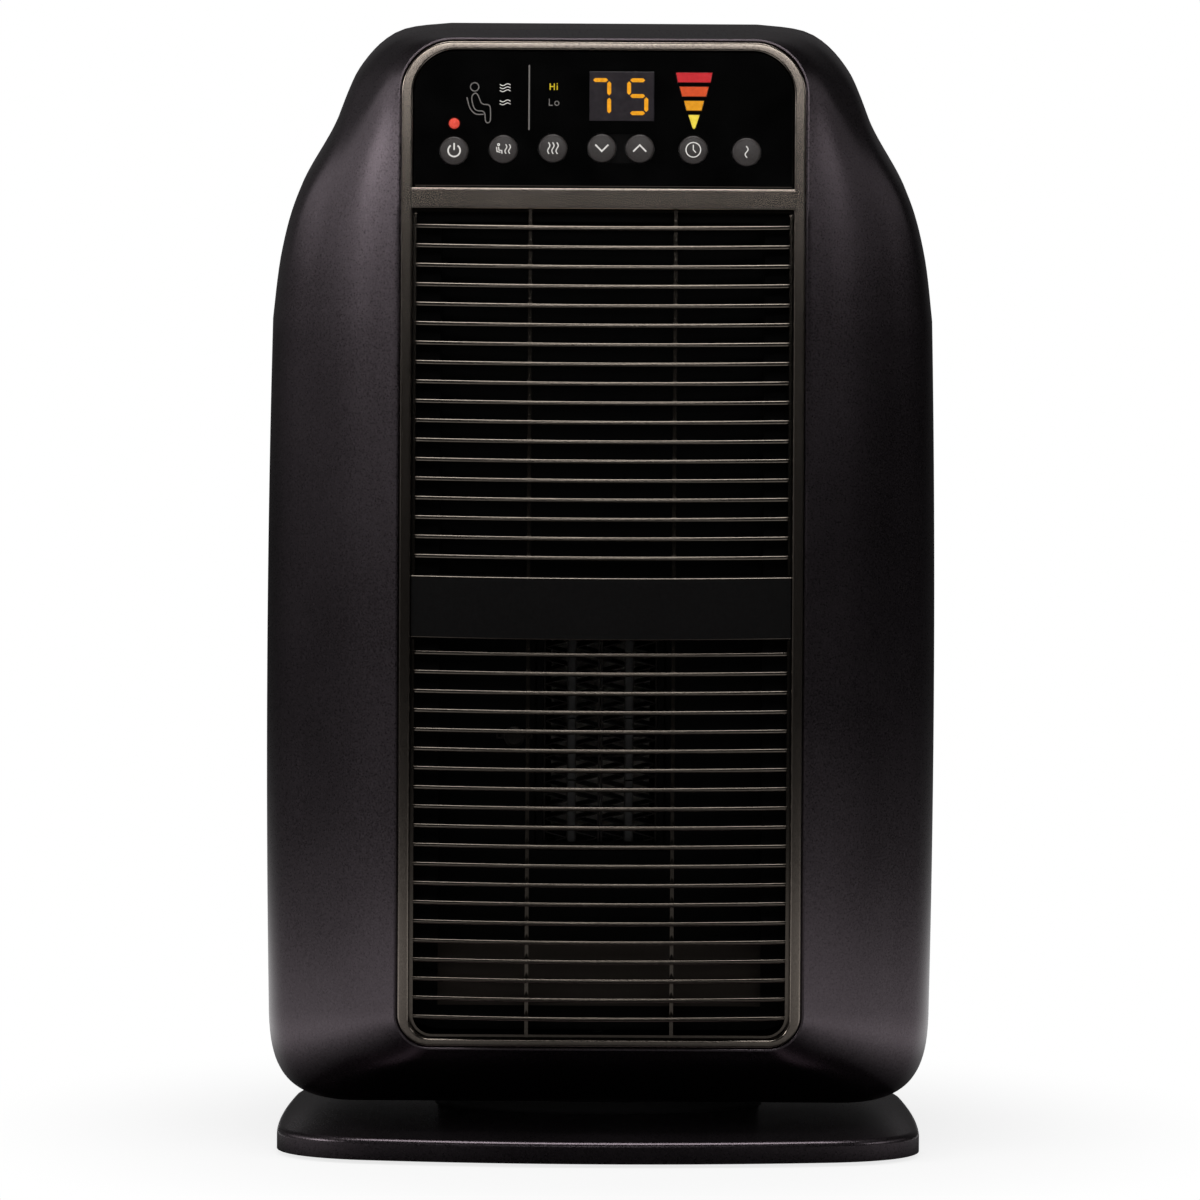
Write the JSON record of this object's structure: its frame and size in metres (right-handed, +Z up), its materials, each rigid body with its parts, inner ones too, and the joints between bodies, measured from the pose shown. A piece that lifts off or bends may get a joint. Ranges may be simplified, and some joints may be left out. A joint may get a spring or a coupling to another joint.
{
  "type": "ceramic heater",
  "caption": "Free-standing ceramic heater with a tilted touch-button panel, a bowed louvred grille, a wide oval base and an internal blower.",
  "frame": {"origin": "on the floor, in the middle of the base", "axes": "+Z up; -Y towards the user, out of the grille; +X to the user's right"},
  "size_m": [0.2572, 0.195, 0.43],
  "materials": {
    "body_plastic": "satin charcoal with a fine fleck",
    "trim_paint": "warm grey metallic paint, satin",
    "gloss_black": "polished",
    "button_plastic": "satin",
    "grille_plastic": "satin bronze black",
    "matte_black": "matt",
    "display_tint": "tinted clear",
    "light_guide": "clear amber",
    "red_lamp": "clear red",
    "circuit_board": "solder resist",
    "heat_plastic": "glass-filled, matt",
    "aluminium": "mill finish",
    "steel": "plain",
    "copper": "enamelled copper winding",
    "rubber": "matt",
    "wire_sleeve": "woven sleeve",
    "pale_plastic": "moulded"
  },
  "bodies": {
    "heater_body": {"front_shell": "body_plastic", "rear_shell": "body_plastic", "base_plate": "body_plastic", "trim_frame": "trim_paint", "control_lens": "gloss_black", "upper_grille": "grille_plastic", "lower_grille": "grille_plastic", "centre_band": "matte_black", "base_cover": "matte_black", "intake_grille": "matte_black", "display_module": "matte_black", "blower_housing": "matte_black", "tip_guide": "matte_black", "tip_micro_switch": "matte_black", "room_sensor": "matte_black", "display_filter": "display_tint", "timer_light_guide": "light_guide", "power_lamp": "red_lamp", "control_board": "circuit_board", "power_board": "circuit_board", "outlet_duct": "heat_plastic", "heater_frame": "heat_plastic", "ceramic_core_left": "aluminium", "ceramic_core_right": "aluminium", "motor_front_bracket": "aluminium", "motor_rear_bracket": "aluminium", "heat_sink": "aluminium", "motor_stack": "steel", "thermal_cutout": "steel", "tip_spring": "steel", "base_screw_1": "steel", "base_screw_2": "steel", "base_screw_3": "steel", "base_screw_4": "steel", "shell_screw_1": "steel", "shell_screw_2": "steel", "shell_screw_3": "steel", "shell_screw_4": "steel", "motor_coil": "copper", "rubber_foot_1": "rubber", "rubber_foot_2": "rubber", "rubber_foot_3": "rubber", "rubber_foot_4": "rubber", "cord_gland": "rubber", "heater_lead_left": "wire_sleeve", "heater_lead_right": "wire_sleeve", "motor_lead": "wire_sleeve", "control_cable": "wire_sleeve"},
    "power_button": {"power_button": "button_plastic"},
    "personal_mode_button": {"personal_mode_button": "button_plastic"},
    "room_mode_button": {"room_mode_button": "button_plastic"},
    "temperature_down_button": {"temperature_down_button": "button_plastic"},
    "temperature_up_button": {"temperature_up_button": "button_plastic"},
    "timer_button": {"timer_button": "button_plastic"},
    "quiet_button": {"quiet_button": "button_plastic"},
    "blower_rotor": {"blower_wheel": "pale_plastic", "motor_shaft": "steel", "motor_rotor": "steel"},
    "tip_plunger": {"tip_plunger": "pale_plastic"}
  },
  "joints": [
    {"name": "power_button_press", "type": "slide", "parent": "heater_body", "child": "power_button", "axis": [0, 0.9894, -0.1452], "range_m": [0, 0.001], "stiffness_N_per_m": 600},
    {"name": "personal_mode_button_press", "type": "slide", "parent": "heater_body", "child": "personal_mode_button", "axis": [0, 0.9894, -0.1452], "range_m": [0, 0.001], "stiffness_N_per_m": 600},
    {"name": "room_mode_button_press", "type": "slide", "parent": "heater_body", "child": "room_mode_button", "axis": [0, 0.9894, -0.1452], "range_m": [0, 0.001], "stiffness_N_per_m": 600},
    {"name": "temperature_down_button_press", "type": "slide", "parent": "heater_body", "child": "temperature_down_button", "axis": [0, 0.9894, -0.1452], "range_m": [0, 0.001], "stiffness_N_per_m": 600},
    {"name": "temperature_up_button_press", "type": "slide", "parent": "heater_body", "child": "temperature_up_button", "axis": [0, 0.9894, -0.1452], "range_m": [0, 0.001], "stiffness_N_per_m": 600},
    {"name": "timer_button_press", "type": "slide", "parent": "heater_body", "child": "timer_button", "axis": [0, 0.9894, -0.1452], "range_m": [0, 0.001], "stiffness_N_per_m": 600},
    {"name": "quiet_button_press", "type": "slide", "parent": "heater_body", "child": "quiet_button", "axis": [0, 0.9894, -0.1452], "range_m": [0, 0.001], "stiffness_N_per_m": 600},
    {"name": "blower_spin", "type": "hinge", "parent": "heater_body", "child": "blower_rotor", "pos_m": [0, 0.018, 0.153], "axis": [1, 0, 0], "continuous": true},
    {"name": "tip_plunger_slide", "type": "slide", "parent": "heater_body", "child": "tip_plunger", "axis": [0, 0, -1], "range_m": [0, 0.003], "stiffness_N_per_m": 60, "springref_m": 0.006, "deforming": ["tip_spring"]}
  ]
}
